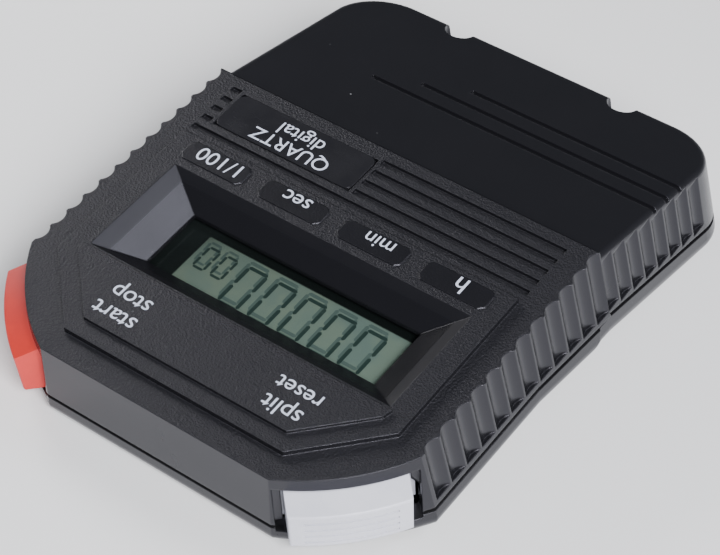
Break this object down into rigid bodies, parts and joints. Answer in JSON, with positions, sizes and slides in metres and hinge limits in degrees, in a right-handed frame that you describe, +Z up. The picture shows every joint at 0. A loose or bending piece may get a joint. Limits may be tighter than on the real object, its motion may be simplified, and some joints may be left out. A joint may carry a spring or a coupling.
{
  "type": "digital stopwatch",
  "caption": "Hand-held digital stopwatch: bent two-part housing with ribbed sides, sunk display, two sprung corner buttons, lanyard notches and a sliding battery cover.",
  "frame": {"origin": "middle of the bounding box at its foot, with the stopwatch standing on its underside", "axes": "+Z up, +Y towards the button end, +X to the reader's right; the face tips 7.6 degrees towards the button end"},
  "size_m": [0.0674, 0.091, 0.0191],
  "materials": {
    "shell_black": "fine matte texture on the face, satin deck and walls",
    "base_black": "gloss black",
    "button_red": "satin red",
    "button_white": "satin white",
    "plunger_plastic": "matte",
    "switch_case": "matte",
    "window_clear": "clear, polished",
    "display_glass": "grey-green display glass",
    "reflector_foil": "brushed foil",
    "inner_frame": "matte",
    "strip_rubber": "matte silicone",
    "board_laminate": "satin laminate",
    "chip_resin": "matte resin",
    "crystal_can": "brushed",
    "trimmer_body": "plain",
    "ceramic_chip": "matte ceramic",
    "screw_steel": "plated",
    "plate_gloss": "gloss black",
    "cell_jacket": "printed jacket, satin",
    "cell_metal": "plated",
    "contact_metal": "plated spring strip"
  },
  "bodies": {
    "housing": {"upper_shell": "shell_black", "base_shell": "base_black", "start_stop_switch": "switch_case", "split_reset_switch": "switch_case", "window_lens": "window_clear", "lcd_panel": "display_glass", "lcd_reflector": "reflector_foil", "lcd_holder": "inner_frame", "contact_strips": "strip_rubber", "circuit_board": "board_laminate", "timer_chip": "chip_resin", "quartz_crystal": "crystal_can", "trimmer_capacitor": "trimmer_body", "chip_capacitors": "ceramic_chip", "housing_screws": "screw_steel", "board_screws": "screw_steel", "name_plate": "plate_gloss", "battery_cell": "cell_jacket", "battery_terminal": "cell_metal", "battery_cradle": "inner_frame", "battery_spring": "contact_metal", "plus_contact": "contact_metal", "minus_contact": "contact_metal", "lanyard_bar": "screw_steel"},
    "start_stop": {"start_stop_button": "button_red", "start_stop_plunger": "plunger_plastic"},
    "split_reset": {"split_reset_button": "button_white", "split_reset_plunger": "plunger_plastic"},
    "cover": {"battery_cover": "base_black"}
  },
  "joints": [
    {"name": "start_stop_press", "type": "slide", "parent": "housing", "child": "start_stop", "axis": [-0.7071, -0.7009, 0.0935], "range_m": [0, 0.0008], "stiffness_N_per_m": 800, "springref_m": -0.0004},
    {"name": "split_reset_press", "type": "slide", "parent": "housing", "child": "split_reset", "axis": [0.7071, -0.7009, 0.0935], "range_m": [0, 0.0008], "stiffness_N_per_m": 800, "springref_m": -0.0004},
    {"name": "battery_cover_slide", "type": "slide", "parent": "housing", "child": "cover", "axis": [0, -0.9932, -0.1167], "range_m": [0, 0.03]}
  ]
}
